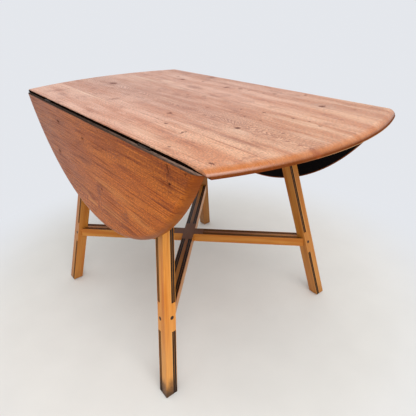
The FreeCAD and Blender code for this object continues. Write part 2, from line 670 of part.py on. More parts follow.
trims = [box("top_waste", TOP_XS, CLEAR_YS, (CLEAR_ZS[0], UNDER))]
for side, sign in SIDES:
    rebate_ys = outwards(sign, f"{WIDE} - {REBATE}", f"{WIDE} + {SPARE}")
    trims.append(box(f"top_rebate_{side}", TOP_XS, rebate_ys, (f"{UNDER} - {SPARE}", AXIS_LEVEL)))
top = cut("top_lipped", top, [join("top_trims", trims)])
top = cut("top_let_in", top, top_recesses)
keep("centre_top", cut("top_bored", top, top_flap_screws + top_screws))

doc.recompute()
for obj in doc.Objects:
    if "Invalid" in obj.State or "Error" in obj.State:
        raise RuntimeError(f"{obj.Label} did not build: {obj.State}")
for label, obj in PARTS.items():
    if obj.Shape.isNull() or not obj.Shape.isValid():
        raise RuntimeError(f"{label} has no valid shape")
os.makedirs("parts", exist_ok=True)
for label, obj in PARTS.items():
    obj.Shape.exportStep(f"parts/{label}.step")
print(len(PARTS), "pieces written")
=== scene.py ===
"""Finishes, floor, light and camera of a drop-leaf dining table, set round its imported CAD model."""

import math
from typing import NamedTuple

import bmesh
import bpy
import numpy as np
from bpy.props import FloatProperty, FloatVectorProperty, PointerProperty
from mathutils import Matrix, Vector


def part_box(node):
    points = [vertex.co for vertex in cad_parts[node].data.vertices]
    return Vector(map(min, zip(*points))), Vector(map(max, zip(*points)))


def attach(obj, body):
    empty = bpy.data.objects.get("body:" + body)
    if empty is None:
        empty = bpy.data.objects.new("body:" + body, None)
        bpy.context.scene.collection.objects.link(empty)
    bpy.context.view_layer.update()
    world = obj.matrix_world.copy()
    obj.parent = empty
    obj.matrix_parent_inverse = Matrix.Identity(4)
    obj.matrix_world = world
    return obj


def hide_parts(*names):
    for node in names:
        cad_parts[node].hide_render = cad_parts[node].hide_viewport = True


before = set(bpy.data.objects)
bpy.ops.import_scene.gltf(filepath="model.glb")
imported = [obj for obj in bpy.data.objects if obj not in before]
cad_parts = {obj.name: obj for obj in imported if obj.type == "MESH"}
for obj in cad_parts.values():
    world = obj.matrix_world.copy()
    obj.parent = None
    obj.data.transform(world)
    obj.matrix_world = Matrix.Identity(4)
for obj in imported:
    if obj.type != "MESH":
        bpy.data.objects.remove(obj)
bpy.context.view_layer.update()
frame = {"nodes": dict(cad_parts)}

bl_info = {
    "name": "Drop-leaf table finishes",
    "version": (1, 0, 0),
    "blender": (4, 5, 0),
    "location": "3D View > Sidebar > Table",
    "description": "Wood and steel finishes of a drop-leaf dining table, with floor, light and camera",
    "category": "Material",
}

IMAGE_WIDTH = 416

# Places and sizes of the table, in metres, in the frame of the CAD model.
TOP_LOW, TOP_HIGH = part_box("centre_top")
TOP_FACE = TOP_HIGH.z
TOP_UNDER = TOP_LOW.z
HINGE_EDGE = TOP_HIGH.y
LEAF_FACE = -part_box("leaf_front")[0].y
LEAF_BACK = -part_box("leaf_front")[1].y
LEAF_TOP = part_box("leaf_front")[1].z
STRETCHER_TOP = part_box("stretcher_front_left")[1].z
END_CROWN = 0.575  # half length of the top
END_RADIUS = 0.7635  # curve of its ends
OVAL_X = 0.572  # half axes and middle of the oval that a hanging leaf is cut from
OVAL_Y = 0.6224
OVAL_LEVEL = 1.0105
LEG_HEAD_X = 0.2162  # outer corner of a leg under the top
LEG_HEAD_Y = 0.2172
LEG_SPLAY_X = 0.1406  # how far it leans out from there to the floor
LEG_SPLAY_Y = 0.1328
LEG_WIDTH = 0.0356
STRETCHER_WIDTH = 0.038
STRETCHER_MIDDLE = 0.2253
GROOVES = ((0.0016, 0.0066), (0.0082, 0.0132))  # from the inner edge of a face
GROOVE_DEPTH = 0.0016
BAND_START = 0.052  # grooves of a stretcher, from the crossing
LOW_BAND_TOP = 0.187  # grooves of a leg, under and over the stretcher
HIGH_BAND_FOOT = 0.266
PLUG_INSET = 0.0125
PLUG_RADIUS = 0.0046
PLUG_LIFT = 0.002

# Cutting of a groove in a copy of a leg.
OUTLINE_SLACK = 0.0002
MERGE_REACH = 0.000001
SHARP_ANGLE = math.radians(30.0)

# Widths over which one paint turns into the next, and heights of the bumps. Metres.
GLUE_EDGE, GLUE_CORE = 0.0014, 0.0003
GROOVE_SPAN = (0.0006, 0.0030)  # depths that are painted as a groove
GROOVE_SOFT = 0.0004
RIDGE_SOFT = 0.0003
BAND_SOFT = 0.0006
PANEL_RELIEF = 0.00022
FRAME_RELIEF = 0.0002
BARE_RELIEF = 0.0003
STEEL_RELIEF = 0.00005

# Grain: how far a heart line wanders, in metres, and how its rings bend, in rings.
HEART_WANDER = 0.022
HEART_HEAVE = 0.006
HEART_FAR, HEART_NEAR = 0.075, 0.012
RING_SWAY = 0.5
RING_ZIGZAG = 0.3
KNOT_SWELL = 3.0
MARK_JITTER = (0.013, 0.007)  # how ragged knots and stains are along and across
WORN_LEFT = 0.2  # share of the figure that is left where the wood is worn smooth
BARE_SEED = 5.0

# Where tarnish starts in its clouds, from 0 to 1.
HINGE_CLEAN = 0.28
SCREW_CLEAN = 0.55


class Board(NamedTuple):
    """A board of a glued panel, and the heart of the tree that it was sawn from. Metres."""

    edge: float  # where the board starts across the panel
    tone: float  # brightness, 1 for the panel's own
    heart: float  # heart line, across the panel
    depth: float  # heart line, under the face
    climb: float  # change of that depth for each metre along the board


class Mark(NamedTuple):
    """An oval knot, dent or stain on a panel. Metres."""

    along: float
    across: float
    length: float
    width: float
    strength: float


def marks_from(*rows):
    """Marks from rows of four lengths in millimetres and a strength in percent."""
    return tuple(Mark(*(size / 1000 for size in row[:4]), row[4] / 100) for row in rows)


class Panel(NamedTuple):
    """Boards and marks of a glued panel that lies level or hangs."""

    level: bool
    boards: tuple
    knots: tuple
    stains: tuple
    pales: tuple
    swirls: tuple


TOP_BOARDS = (
    Board(-0.31, 1.05, -0.420, 0.050, 0.020),
    Board(-0.186, 1.00, -0.068, 0.030, 0.035),
    Board(-0.072, 0.97, -0.053, 0.060, -0.100),
    Board(0.082, 1.03, 0.320, 0.060, 0.025),
    Board(0.220, 0.96, 0.150, 0.040, -0.020),
)
TOP_KNOTS = marks_from(
    (360, 203, 11, 14, 75), (-375, -42, 24, 15, 65), (-255, 184, 14, 11, 65), (-320, 208, 10, 7, 60),
    (-205, 284, 12, 12, 60), (-165, 211, 8, 8, 60), (-20, 196, 9, 16, 60), (30, 211, 10, 12, 60),
    (70, 214, 6, 6, 50), (130, 218, 6, 6, 45), (165, 231, 8, 10, 60), (240, 286, 7, 10, 60),
    (438, 231, 4, 6, 60), (-155, 16, 7, 5, 60), (-20, 36, 5, 6, 45), (10, 11, 5, 6, 45),
    (35, 58, 8, 6, 65), (155, -24, 6, 5, 45), (235, 26, 5, 4, 65), (300, 44, 6, 7, 80),
    (290, -14, 4, 5, 50), (345, -14, 4, 5, 50), (385, 56, 5, 6, 75), (432, 61, 5, 4, 75),
    (470, 49, 5, 6, 75), (450, -54, 4, 4, 50), (215, -82, 7, 5, 70), (355, -97, 11, 8, 85),
    (135, -134, 10, 9, 65), (160, -187, 8, 4, 45), (210, -194, 8, 6, 75), (298, -206, 5, 15, 80),
    (355, -281, 5, 4, 75), (484, -277, 8, 6, 85),
)
TOP_STAINS = marks_from(
    (360, 206, 30, 26, 35), (-375, -40, 55, 28, 45), (-355, 286, 60, 14, 40),
    (-205, 281, 30, 26, 45), (-100, 121, 50, 22, 60), (76, 108, 22, 32, 45), (50, 80, 40, 10, 45),
    (-160, -102, 34, 16, 40), (-95, -92, 34, 14, 35), (-130, -164, 16, 34, 65),
    (-335, -134, 26, 18, 45), (-395, -221, 15, 40, 55), (-318, -251, 42, 17, 60),
    (-235, -209, 36, 14, 35), (120, -236, 30, 26, 30), (180, -228, 7, 34, 30),
    (275, -234, 70, 6, 60), (380, -243, 60, 5, 50), (290, -150, 110, 8, 50),
    (420, -157, 100, 12, 70), (505, -212, 7, 42, 45), (305, -248, 5, 30, 35), (562, -86, 20, 14, 70),
)
TOP_PALES = marks_from(
    (-380, 90, 180, 12, 65), (-260, 118, 60, 16, 55), (-140, 76, 70, 9, 45), (-30, -41, 150, 6, 65),
    (20, -58, 110, 4, 55), (-280, -192, 260, 6, 75), (500, -35, 80, 14, 55), (372, -112, 45, 14, 50),
    (360, 206, 45, 38, 40), (420, 40, 130, 18, 35), (250, -270, 200, 20, 35),
)
TOP_SWIRLS = marks_from(
    (450, -66, 110, 20, 100), (300, -70, 70, 16, 100), (140, -66, 90, 16, 100),
    (-50, -54, 110, 20, 100), (-220, -46, 90, 20, 80), (360, 206, 60, 40, 90),
    (-20, 196, 50, 34, 80),
)
LEAF_BOARDS = (
    Board(0.38, 1.02, 0.455, 0.016, 0.012),
    Board(0.482, 1.00, 0.640, 0.050, -0.020),
    Board(0.600, 0.97, 0.780, 0.045, 0.030),
)
LEAF_KNOTS = marks_from(
    (-208, 660, 16, 4, 70), (-27, 649, 8, 6, 60), (-253, 554, 12, 8, 60), (403, 660, 7, 5, 85),
    (401, 690, 3, 18, 60), (460, 697, 3, 8, 60), (53, 524, 5, 4, 70),
)
LEAF_STAINS = marks_from(
    (30, 514, 14, 36, 65), (50, 530, 16, 14, 45), (188, 500, 12, 20, 55), (175, 489, 34, 12, 45),
    (-30, 585, 60, 22, 45), (-110, 505, 80, 18, 40), (-250, 556, 30, 16, 45),
    (-200, 660, 50, 10, 45), (-25, 648, 18, 14, 45), (403, 668, 16, 36, 45), (470, 670, 50, 30, 30),
)
LEAF_PALES = marks_from(
    (-35, 455, 50, 10, 60), (-80, 470, 50, 8, 50), (120, 545, 160, 14, 30), (100, 470, 90, 14, 45),
    (260, 515, 80, 14, 35),
)
LEAF_SWIRLS = marks_from(
    (-35, 456, 85, 30, 100), (-100, 478, 60, 22, 90), (50, 525, 60, 30, 50),
)
TOP_PANEL = Panel(True, TOP_BOARDS, TOP_KNOTS, TOP_STAINS, TOP_PALES, TOP_SWIRLS)
LEAF_PANEL = Panel(False, LEAF_BOARDS, LEAF_KNOTS, LEAF_STAINS, LEAF_PALES, LEAF_SWIRLS)
BOARD_SLANT = 0.0366
BOARD_TAPER = 0.14


def rgba(colour):
    """A colour property as four numbers, or an output as it is."""
    return colour if isinstance(colour, bpy.types.NodeSocket) else (*colour, 1.0)


class Nodes:
    """Node tree with short calls that add a node and give back its output."""

    def __init__(self, tree):
        self.tree = tree
        tree.nodes.clear()

    def node(self, kind, inputs=(), **settings):
        """A node of a kind, with its inputs set to values or linked to outputs."""
        made = self.tree.nodes.new(kind)
        for key, value in settings.items():
            setattr(made, key, value)
        for key, value in dict(inputs).items():
            if isinstance(value, bpy.types.NodeSocket):
                self.tree.links.new(value, made.inputs[key])
            else:
                made.inputs[key].default_value = value
        return made

    def math(self, operation, *values, clamp=False):
        """One Math node."""
        settings = {"operation": operation, "use_clamp": clamp}
        return self.node("ShaderNodeMath", enumerate(values), **settings).outputs[0]

    def larger(self, first, second):
        """The larger of two numbers."""
        return self.math("MAXIMUM", first, second)

    def seen(self):
        """1 for rays that show a thing, plain, mirrored or through glass, and 0 for those that light it."""
        path = self.node("ShaderNodeLightPath").outputs
        plain = self.larger(path["Is Camera Ray"], path["Is Glossy Ray"])
        return self.larger(plain, path["Is Transmission Ray"])


class Finish(Nodes):
    """Nodes of one material, and the paint that its coats have made so far."""

    def __init__(self, name):
        self.material = bpy.data.materials.new(name)
        self.material.use_nodes = True
        super().__init__(self.material.node_tree)
        self.place = self.node("ShaderNodeTexCoord").outputs["Object"]
        self.paint = None

    def plus(self, first, second):
        """The sum of two numbers."""
        return self.math("ADD", first, second)

    def minus(self, first, second):
        """One number less another."""
        return self.math("SUBTRACT", first, second)

    def times(self, product, *factors, clamp=False):
        """The product of some numbers."""
        for factor in factors:
            product = self.math("MULTIPLY", product, factor, clamp=clamp)
        return product

    def times_plus(self, first, second, third, clamp=False):
        """The product of two numbers, and a third added."""
        return self.math("MULTIPLY_ADD", first, second, third, clamp=clamp)

    def squares(self, first, second):
        """The sum of the squares of two numbers."""
        return self.times_plus(first, first, self.times(second, second))

    def distance(self, first, second):
        """Distance of a point from the middle, from its places along two axes."""
        return self.math("SQRT", self.squares(first, second))

    def axes(self, vector):
        """The three numbers of a vector."""
        return self.node("ShaderNodeSeparateXYZ", {0: vector}).outputs

    def vector(self, x, y, z):
        """A vector of three numbers."""
        return self.node("ShaderNodeCombineXYZ", enumerate((x, y, z))).outputs[0]

    def noise(self, vector, detail=2.0, roughness=0.5):
        """Cloudy noise from 0 to 1, one cloud for each unit of the vector."""
        inputs = {"Vector": vector, "Scale": 1.0, "Detail": detail, "Roughness": roughness}
        return self.node("ShaderNodeTexNoise", inputs).outputs["Fac"]

    def clouds(self, factors, **fineness):
        """Noise with so many clouds to the metre along X, Y and Z."""
        inputs = {0: self.place, 1: factors}
        stretched = self.node("ShaderNodeVectorMath", inputs, operation="MULTIPLY").outputs[0]
        return self.noise(stretched, **fineness)

    def grain(self, along, across, third, along_scale, across_scale, **fineness):
        """Noise with so many clouds to the metre along and across the grain."""
        first = self.times(along, along_scale)
        second = self.times(across, across_scale)
        if isinstance(third, bpy.types.NodeSocket):
            third = self.times(third, across_scale)
        return self.noise(self.vector(first, second, third), **fineness)

    def rise(self, value, low, high):
        """Smooth step from 0 at low to 1 at high."""
        inputs = {"Value": value, "From Min": low, "From Max": high}
        return self.node("ShaderNodeMapRange", inputs, interpolation_type="SMOOTHSTEP").outputs["Result"]

    def within(self, value, low, high, soft):
        """1 between low and high and 0 outside, with soft edges."""
        entry = self.rise(value, low - soft, low + soft)
        leave = self.rise(value, high + soft, high - soft)
        return self.times(entry, leave)

    def span(self, value, low, high):
        """A number from 0 to 1 turned into one from low to high."""
        return self.times_plus(value, high - low, low)

    def blend(self, share, under, over, mode="MIX"):
        """One colour over another, in a share from 0 to 1."""
        inputs = {0: share, 6: rgba(under), 7: rgba(over)}
        return self.node("ShaderNodeMix", inputs, data_type="RGBA", blend_type=mode).outputs[2]

    def coat(self, colour, *shares, mode="MIX"):
        """Lays a colour over the paint, in the product of some shares from 0 to 1."""
        self.paint = self.blend(self.times(*shares), self.paint, colour, mode)

    def tone(self, value):
        """Makes the paint so many times as bright."""
        inputs = {"Value": value, "Color": rgba(self.paint)}
        self.paint = self.node("ShaderNodeHueSaturation", inputs).outputs[0]

    def surface(self, roughness, height, relief, specular, metallic=0.0):
        """Ends the tree: a Principled shader with the paint and a bump that is relief metres high."""
        bump = self.node("ShaderNodeBump", {"Height": height, "Distance": relief, "Strength": 1.0})
        shader = self.node("ShaderNodeBsdfPrincipled", {
            "Base Color": self.paint,
            "Roughness": roughness,
            "Normal": bump.outputs[0],
            "Specular IOR Level": specular,
            "Metallic": metallic,
        })
        self.node("ShaderNodeOutputMaterial", {"Surface": shader.outputs[0]})
        return self.material


def board_values(wood, across, boards):
    """Tone, heart, depth and climb at a point: each board's edge that is passed adds the step to its own."""
    passed = [wood.math("GREATER_THAN", across, board.edge) for board in boards[1:]]
    values = []
    for field in ("tone", "heart", "depth", "climb"):
        value = getattr(boards[0], field)
        for past, before, board in zip(passed, boards, boards[1:]):
            value = wood.times_plus(past, getattr(board, field) - getattr(before, field), value)
        values.append(value)
    return values


def glue_lines(wood, across, boards):
    """1 on the joints between boards and 0 elsewhere."""
    lines = 0.0
    for board in boards[1:]:
        off = wood.math("ABSOLUTE", wood.minus(across, board.edge))
        lines = wood.larger(lines, wood.rise(off, GLUE_EDGE, GLUE_CORE))
    return lines


def spread_of(wood, along, across, marks, inner):
    """Strength of the nearest marks: 1 less the product of what each mark leaves, fading over its oval."""
    left = 1.0
    for mark in marks:
        away_along = wood.times_plus(along, 1 / mark.length, -mark.along / mark.length)
        away_across = wood.times_plus(across, 1 / mark.width, -mark.across / mark.width)
        fade = wood.rise(wood.squares(away_along, away_across), 1.0, inner * inner)
        left = wood.times(left, wood.times_plus(fade, -mark.strength, 1.0))
    return wood.minus(1.0, left)


def ring_lines(wood, along, across, deep, values, spacing, swell):
    """Late wood of the growth rings, and how near the heart line is.

    The lines are a saw wave of the distance from the heart line, counted in rings. The heart line
    wanders by noise along the board, and swell pushes the rings round knots.
    """
    _, heart, depth, climb = values
    drift = wood.grain(along, across, 0.3, 2.1, 7.0)
    sway = wood.grain(along, across, 4.7, 15.0, 34.0, detail=3.0)
    zigzag = wood.grain(along, across, 2.2, 130.0, 40.0, detail=1.0)
    side = wood.plus(wood.minus(across, heart), wood.span(drift, -HEART_WANDER, HEART_WANDER))
    below = wood.plus(wood.times_plus(along, climb, depth), deep)
    below = wood.plus(below, wood.span(drift, -HEART_HEAVE, HEART_HEAVE))
    count = wood.math("DIVIDE", wood.distance(side, below), spacing)
    count = wood.plus(count, wood.span(sway, -RING_SWAY, RING_SWAY))
    count = wood.times_plus(swell, KNOT_SWELL, count)
    count = wood.times_plus(zigzag, RING_ZIGZAG, count)
    saw = wood.math("FRACT", count)
    late = wood.times(wood.rise(saw, 0.35, 0.85), wood.rise(saw, 1.0, 0.92))
    near = wood.rise(wood.math("ABSOLUTE", side), HEART_FAR, HEART_NEAR)
    return late, near


def colour(name, description, default):
    """A colour that a user can change."""
    return FloatVectorProperty(
        name=name, description=description, default=default, subtype="COLOR", min=0.0, max=1.0)


def share(name, description, default):
    """A share from 0 to 1 that a user can change."""
    return FloatProperty(
        name=name, description=description, default=default, subtype="FACTOR", min=0.0, max=1.0)


def length(name, description, default):
    """A length that a user can change."""
    return FloatProperty(name=name, description=description, default=default, unit="LENGTH", min=0.0005)


def power(name, description, default):
    """The power of a lamp that a user can change."""
    return FloatProperty(name=name, description=description, default=default, unit="POWER", min=0.0)


class TopSettings(bpy.types.PropertyGroup):
    """Colours and grain of the fixed top."""

    light: colour("Light wood", "Bleached early wood", (0.72, 0.398, 0.270))
    warm: colour("Warm wood", "Early wood that kept its colour", (0.54, 0.212, 0.106))
    golden: colour("Golden end", "Tint of the yellower end, over the other colours", (1.0, 1.0, 0.86))
    dark: colour("Dark wood", "Late wood and fibres", (0.31, 0.085, 0.028))
    pale: colour("Pale streaks", "Bleached streaks", (0.80, 0.53, 0.36))
    knot: colour("Knots", "Knots and dents", (0.095, 0.024, 0.019))
    stain: colour("Stains", "Redder wood round knots", (0.25, 0.055, 0.015))
    rim: colour("Rounded ends", "End grain on the rounded ends", (0.41, 0.115, 0.012))
    # Painted shade, darker low on the rounded ends where they turn down.
    shade: colour("Foot of the ends", "Darker end grain low on the ends", (0.09, 0.018, 0.004))
    arris: colour("Worn arris", "Bare wood along the lower edge of the ends", (0.55, 0.33, 0.17))
    # Grime: dirt with painted shade in the leaf joint.
    grime_and_shade: colour("Grime", "Dirt in the leaf joint", (0.006, 0.003, 0.002))
    under: colour("Underside", "Unpolished underside", (0.20, 0.105, 0.055))
    ring: length("Ring spacing", "Width of a growth ring", 0.0011)
    figure: share("Figure", "Strength of the growth rings away from the heart", 0.20)
    heart: share("Heart", "Strength of the growth rings near the heart", 1.0)
    grain: share("Grain", "Strength of the fibres", 0.36)
    pores: share("Pores", "Strength of the pores", 0.28)
    speckle: share("Speckle", "Strength of the fine speckles", 0.50)
    mottle: share("Mottling", "Strength of the mottling", 0.55)
    roughness: share("Roughness", "Roughness of the wax", 0.34)
    specular: share("Specular", "Strength of the shine", 0.50)


class LeafSettings(bpy.types.PropertyGroup):
    """Colours and grain of the leaves."""

    light: colour("Light wood", "Early wood", (0.590, 0.163, 0.016))
    warm: colour("Warm wood", "Redder early wood", (0.475, 0.111, 0.008))
    dark: colour("Dark wood", "Late wood and fibres", (0.200, 0.036, 0.003))
    # Painted sheen: a pinkish grey reflection painted over the left end of the leaves.
    faded_and_sheen: colour("Faded wood", "Wood at the faded end", (0.310, 0.118, 0.062))
    pale: colour("Pale streaks", "Bleached streaks", (0.620, 0.260, 0.070))
    knot: colour("Knots", "Knots and dents", (0.040, 0.008, 0.003))
    stain: colour("Stains", "Darker wood round knots", (0.150, 0.030, 0.008))
    # Inner face: dark stain with painted shade.
    inside: colour("Inner face", "Dark stain on the inner face", (0.004, 0.003, 0.003))
    # Grime: dirt on the hinge edge, painted shadow past its end and in a line under it.
    grime_and_shade: colour("Grime", "Dirt along the hinge edge", (0.018, 0.013, 0.010))
    dust: colour("Dust", "Dust on the hinge edge", (0.340, 0.210, 0.155))
    # Painted shade on the rounding of the right end of a leaf, which is also worn smooth.
    rim: colour("Worn rim", "Darker wood on the rounding of one end", (0.150, 0.045, 0.011))
    ring: length("Ring spacing", "Width of a growth ring", 0.0050)
    figure: share("Figure", "Strength of the growth rings away from the heart", 0.30)
    heart: share("Heart", "Strength of the growth rings near the heart", 0.75)
    grain: share("Grain", "Strength of the fibres", 0.85)
    pores: share("Pores", "Strength of the pores", 0.40)
    speckle: share("Speckle", "Strength of the fine speckles", 0.58)
    mottle: share("Mottling", "Strength of the mottling", 0.34)
    roughness: share("Roughness", "Roughness of the wax", 0.30)
    specular: share("Specular", "Strength of the shine", 0.07)


class FrameSettings(bpy.types.PropertyGroup):
    """Colours of the legs, stretchers, rails and bearers."""

    light: colour("Light wood", "Early wood", (0.72, 0.290, 0.050))
    warm: colour("Warm wood", "Early wood that kept its colour", (0.60, 0.190, 0.020))
    dark: colour("Dark wood", "Late wood and fibres", (0.30, 0.075, 0.008))
    groove: colour("Groove stain", "Stain in the reeded grooves", (0.004, 0.003, 0.003))
    ridge: colour("Ridge", "Wood between two grooves", (0.042, 0.017, 0.009))
    brown: colour("Stretcher top", "Darkened top of the stretchers", (0.165, 0.060, 0.025))
    # Paler wood low on the legs, also a painted highlight beside the grooves.
    faded_and_sheen: colour("Faded wood", "Paler wood on the lower legs", (0.660, 0.330, 0.105))
    red: colour("Red streak", "Red heartwood along the outer corner of the legs", (0.480, 0.095, 0.008))
    dirt: colour("Foot dirt", "Dirt at the floor and round the plugs", (0.034, 0.017, 0.010))
    bare: colour("Bare wood", "Unpolished rails and bearers", (0.42, 0.235, 0.105))
    ring: length("Ring spacing", "Width of a growth ring", 0.0042)
    roughness: share("Roughness", "Roughness of the lacquer", 0.34)
    specular: share("Specular", "Strength of the shine", 0.24)


class SteelSettings(bpy.types.PropertyGroup):
    """Colours of the hinges and screws."""

    clean: colour("Steel", "Rubbed steel", (0.16, 0.135, 0.11))
    dull: colour("Tarnish", "Tarnished steel", (0.045, 0.034, 0.027))


class StageSettings(bpy.types.PropertyGroup):
    """Floor, background and light."""

    floor: colour("Floor", "Pale floor", (0.755, 0.745, 0.715))
    background: colour("Background", "White beyond the floor", (0.78, 0.80, 0.84))
    fill: FloatProperty(name="Fill", description="Light from all sides", default=0.76, min=0.0)
    key: power("Key", "Power of the lamp overhead", 8.0)
    front: power("Front", "Power of the lamp in front", 62.0)


class TableSettings(bpy.types.PropertyGroup):
    """All settings of the table."""

    top: PointerProperty(type=TopSettings, name="Top", description="Fixed top")
    leaf: PointerProperty(type=LeafSettings, name="Leaves", description="Hanging leaves")
    frame: PointerProperty(type=FrameSettings, name="Frame", description="Legs, stretchers and rails")
    steel: PointerProperty(type=SteelSettings, name="Steel", description="Hinges and screws")
    stage: PointerProperty(type=StageSettings, name="Stage", description="Floor and light")


def panel_ground(wood, settings, along, across, heart):
    """Paints a panel before its figure: broad bands and mottling, different in each board."""
    apart = wood.times(heart, 3.0)
    band = wood.grain(along, across, apart, 2.6, 22.0, detail=3.0)
    mottle = wood.grain(along, across, heart, 14.0, 28.0, detail=4.0, roughness=0.6)
    wood.paint = settings.warm
    wood.coat(settings.light, wood.rise(band, 0.36, 0.64))
    wood.coat(settings.dark, wood.rise(mottle, 0.50, 0.72), settings.mottle)
    wood.coat(settings.light, wood.rise(mottle, 0.46, 0.30), settings.mottle)


def panel_figure(wood, settings, along, across, deep, values, panel, smooth):
    """Paints growth rings, fibres, pores, glue lines, knots and stains on a panel.

    Smooth, from 0 to 1, is how far fibres and pores are worn off, as on the rounded edges.
    Gives back the roughness and the height of the surface.
    """
    x, y, z = wood.axes(wood.place)
    jitter = wood.clouds((170.0, 170.0, 170.0), detail=3.0)
    jitter_along, jitter_across = MARK_JITTER
    mark_along = wood.plus(x, wood.span(jitter, -jitter_along, jitter_along))
    mark_across = wood.plus(y if panel.level else z, wood.span(jitter, jitter_across, -jitter_across))
    knot = spread_of(wood, mark_along, mark_across, panel.knots, 0.30)
    stain, pale, swirl = (
        spread_of(wood, mark_along, mark_across, marks, 0.0)
        for marks in (panel.stains, panel.pales, panel.swirls))
    late, near = ring_lines(wood, along, across, deep, values, settings.ring, swirl)
    near = wood.larger(near, swirl)
    fibre = wood.grain(along, across, deep, 6.0, 260.0, detail=4.0, roughness=0.66)
    pore = wood.grain(along, across, values[1], 34.0, 260.0)
    speck = wood.grain(along, across, deep, 170.0, 300.0)

    lined = wood.times(late, wood.span(near, settings.figure, settings.heart))
    wood.coat(settings.dark, lined, wood.span(smooth, 1.0, WORN_LEFT))
    grain = wood.span(smooth, settings.grain, WORN_LEFT * settings.grain)
    wood.coat(settings.dark, wood.rise(fibre, 0.48, 0.64), grain)
    grain = wood.span(smooth, settings.grain, 0.0)
    wood.coat(settings.light, wood.rise(fibre, 0.47, 0.30), grain)
    pores = wood.span(smooth, settings.pores, 0.0)
    wood.coat(settings.stain, wood.rise(pore, 0.62, 0.72), pores)
    spread = wood.span(wood.rise(speck, 0.30, 0.70), -0.5, 0.5)
    speckle = wood.span(smooth, settings.speckle, WORN_LEFT * settings.speckle)
    wood.tone(wood.times(values[0], wood.times_plus(spread, speckle, 1.0)))
    streaks = wood.rise(fibre, 0.36, 0.60)
    wood.coat(settings.pale, pale, wood.span(smooth, 1.0, 0.0), wood.span(streaks, 1.0, 0.4))
    wood.coat(settings.stain, stain, wood.span(streaks, 0.45, 1.0))
    joints = glue_lines(wood, across, panel.boards)
    wood.coat(settings.stain, joints, wood.span(streaks, 0.15, 0.75))
    broken = wood.span(wood.rise(speck, 0.36, 0.56), 0.60, 1.15)
    knot = wood.times(knot, broken, clamp=True)
    wood.coat(settings.knot, knot)

    wear = wood.clouds((14.0, 20.0, 20.0), detail=3.0)
    roughness = wood.times_plus(wear, 0.16, settings.roughness - 0.08)
    roughness = wood.times_plus(wood.rise(fibre, 0.50, 0.76), 0.22, roughness)
    roughness = wood.times_plus(knot, 0.50, roughness, clamp=True)
    height = wood.times_plus(fibre, -0.5, wood.times(late, 0.25))
    height = wood.times_plus(knot, -1.2, height)
    return roughness, height


def top_wood(settings):
    """Finish of the fixed top: boards along X, end grain on the ends, dirty hinge lips, plain underside;
    ends and lips get painted shade.
    """
    wood = Finish("top_wood")
    x, y, z = wood.axes(wood.place)
    across = wood.times_plus(x, wood.times_plus(y, BOARD_TAPER, BOARD_SLANT), y)
    deep = wood.minus(TOP_FACE, z)
    values = board_values(wood, across, TOP_PANEL.boards)
    panel_ground(wood, settings, x, across, values[1])
    wood.coat(settings.golden, wood.rise(x, 0.05, 0.50), mode="MULTIPLY")

    # End grain on the rounded ends, with painted shade at its foot where the ends turn down.
    out = wood.plus(wood.math("ABSOLUTE", x), END_RADIUS - END_CROWN)
    reach = wood.distance(y, out)
    away = wood.rise(y, -0.25, 0.05)
    start = wood.span(away, END_RADIUS - 0.030, END_RADIUS - 0.019)
    rim = wood.rise(reach, start, END_RADIUS - 0.006)
    rim = wood.times(rim, wood.span(away, 0.92, 0.70))
    wood.coat(settings.rim, rim)
    # Painted shade at the foot of the rounded ends.
    foot = wood.times(wood.rise(deep, 0.0040, 0.0120), 0.90)
    wood.coat(settings.shade, foot)
    smooth = wood.larger(rim, foot)
    roughness, height = panel_figure(wood, settings, x, across, deep, values, TOP_PANEL, smooth)
    roughness = wood.times_plus(rim, -0.10, roughness)
    height = wood.times(height, wood.span(rim, 1.0, 0.1))

    # Bare lower edge, and the shine of the ends.
    worn = wood.times(wood.rise(y, -0.16, 0.02), 0.55)
    low = wood.rise(z, TOP_UNDER + 0.0014, TOP_UNDER + 0.0006)
    wood.coat(settings.arris, low, worn)
    dull = wood.times(foot, wood.rise(y, -0.26, -0.04))
    dull = wood.larger(dull, wood.rise(deep, 0.0085, 0.0110))
    polish = wood.within(deep, 0.0040, 0.0085, 0.0015)
    polish = wood.times(polish, wood.rise(y, -0.02, -0.20), rim)
    roughness = wood.times_plus(polish, -0.08, roughness)
    specular = wood.span(dull, settings.specular, 0.0)
    specular = wood.times_plus(polish, 0.5, specular)

    # Dirt and painted shade on the lips over the leaves, in the shadowed gap of the joint, less of it at one
    # corner, and the underside.
    lip = wood.rise(wood.math("ABSOLUTE", y), HINGE_EDGE - 0.0008, HINGE_EDGE - 0.0002)
    corner = wood.rise(x, 0.43, 0.53)
    smear = wood.clouds((40.0, 1.0, 160.0), detail=3.0)
    darkening = wood.minus(deep, wood.times(corner, 0.0085))
    darkening = wood.times_plus(smear, 0.002, darkening)
    lip = wood.times(lip, wood.rise(darkening, 0.0036, 0.0050))
    wood.coat(settings.grime_and_shade, lip)
    specular = wood.times(specular, wood.span(lip, 1.0, 0.0))
    roughness = wood.times_plus(lip, 0.6, roughness, clamp=True)
    inside = wood.rise(reach, END_RADIUS - 0.004, END_RADIUS - 0.010)
    plain = wood.times(wood.rise(z, TOP_UNDER + 0.0003, TOP_UNDER + 0.0001), inside)
    wood.coat(settings.under, plain, 0.8)
    return wood.surface(roughness, height, PANEL_RELIEF, specular)


